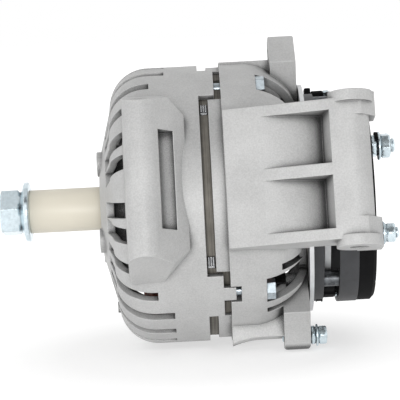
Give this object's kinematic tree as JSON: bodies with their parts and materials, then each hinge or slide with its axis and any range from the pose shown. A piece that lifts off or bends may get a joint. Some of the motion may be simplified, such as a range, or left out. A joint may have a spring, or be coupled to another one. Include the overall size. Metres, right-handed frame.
{
  "type": "engine alternator",
  "caption": "Engine alternator with slotted cast brackets, two mount barrels along its side, side lugs, open rectifier end and a shipping sleeve on its shaft.",
  "frame": {"origin": "on the axis of the front mount bore, level with the shaft", "axes": "+X along the shaft towards the terminal end, -Y towards the mounting side, +Z along the mount bores, up"},
  "size_m": [0.2259, 0.181, 0.1806],
  "materials": {
    "cast_aluminium": "fine sand-cast, satin",
    "lamination": "stacked sheet edges, matt",
    "winding": "lacquered copper wire, dark red-brown",
    "zinc_steel": "bright zinc plated",
    "bearing_steel": "ground steel",
    "seal_rubber": "moulded rubber",
    "pole_steel": "forged and turned steel",
    "sheet_aluminium": "rolled sheet, nearly white",
    "diode_case": "pressed metal case",
    "copper_alloy": "turned copper alloy",
    "carbon": "pressed carbon",
    "dark_plastic": "filled moulding, dark grey, matt",
    "black_plastic": "filled moulding, black, matt",
    "cream_plastic": "moulded, cream, satin"
  },
  "bodies": {
    "housing": {"drive_end_bracket": "cast_aluminium", "rear_bracket": "cast_aluminium", "stator_core": "lamination", "stator_winding": "winding", "through_bolts": "zinc_steel", "front_bearing_outer_ring": "bearing_steel", "front_bearing_shields": "seal_rubber", "bearing_retainer": "zinc_steel", "retainer_screws": "zinc_steel", "rear_bearing_outer_ring": "bearing_steel", "rear_bearing_shields": "seal_rubber", "heat_sink_plate": "sheet_aluminium", "rectifier_carrier": "dark_plastic", "positive_plate": "sheet_aluminium", "negative_diodes": "diode_case", "positive_diodes": "diode_case", "insulating_bushes": "dark_plastic", "phase_leads": "winding", "voltage_regulator": "dark_plastic", "brush_holder": "dark_plastic", "cover_ring": "dark_plastic", "rear_cover": "black_plastic", "cover_screws": "zinc_steel", "cover_spacers": "zinc_steel", "output_stud": "zinc_steel", "output_stud_bush": "dark_plastic", "output_stud_nuts": "zinc_steel", "output_stud_washer": "zinc_steel", "ground_bolt": "zinc_steel", "ground_washer": "zinc_steel", "lug_stud": "zinc_steel", "lug_nuts": "zinc_steel", "lug_washer": "zinc_steel", "front_brush_spring": "bearing_steel", "rear_brush_spring": "bearing_steel"},
    "rotor": {"rotor_shaft": "bearing_steel", "claw_pole_front": "pole_steel", "claw_pole_rear": "pole_steel", "coil_bobbin": "dark_plastic", "field_coil": "winding", "front_fan": "pole_steel", "rear_fan": "pole_steel", "slip_ring_hub": "dark_plastic", "slip_rings": "copper_alloy", "front_bearing_inner_ring": "bearing_steel", "rear_bearing_inner_ring": "bearing_steel", "spacer_collar": "bearing_steel", "transit_sleeve": "cream_plastic", "pulley_nut": "zinc_steel"},
    "front_ball_cage": {"front_bearing_balls": "bearing_steel", "front_bearing_cage": "bearing_steel"},
    "rear_ball_cage": {"rear_bearing_balls": "bearing_steel", "rear_bearing_cage": "bearing_steel"},
    "front_brush_body": {"front_brush": "carbon"},
    "rear_brush_body": {"rear_brush": "carbon"}
  },
  "joints": [
    {"name": "rotor_spin", "type": "hinge", "parent": "housing", "child": "rotor", "pos_m": [0, 0.089, 0], "axis": [1, 0, 0], "continuous": true},
    {"name": "front_cage_spin", "type": "hinge", "parent": "housing", "child": "front_ball_cage", "pos_m": [0, 0.089, 0], "axis": [1, 0, 0], "continuous": true},
    {"name": "rear_cage_spin", "type": "hinge", "parent": "housing", "child": "rear_ball_cage", "pos_m": [0, 0.089, 0], "axis": [1, 0, 0], "continuous": true},
    {"name": "front_brush_slide", "type": "slide", "parent": "housing", "child": "front_brush_body", "axis": [0, 0, -1], "range_m": [0, 0.008], "stiffness_N_per_m": 150, "springref_m": -0.02, "deforming": ["front_brush_spring"]},
    {"name": "rear_brush_slide", "type": "slide", "parent": "housing", "child": "rear_brush_body", "axis": [0, 0, -1], "range_m": [0, 0.008], "stiffness_N_per_m": 150, "springref_m": -0.02, "deforming": ["rear_brush_spring"]}
  ],
  "couplings": [
    {"joint": "front_cage_spin", "follows": "rotor_spin", "ratio": 0.36562},
    {"joint": "rear_cage_spin", "follows": "rotor_spin", "ratio": 0.376}
  ]
}
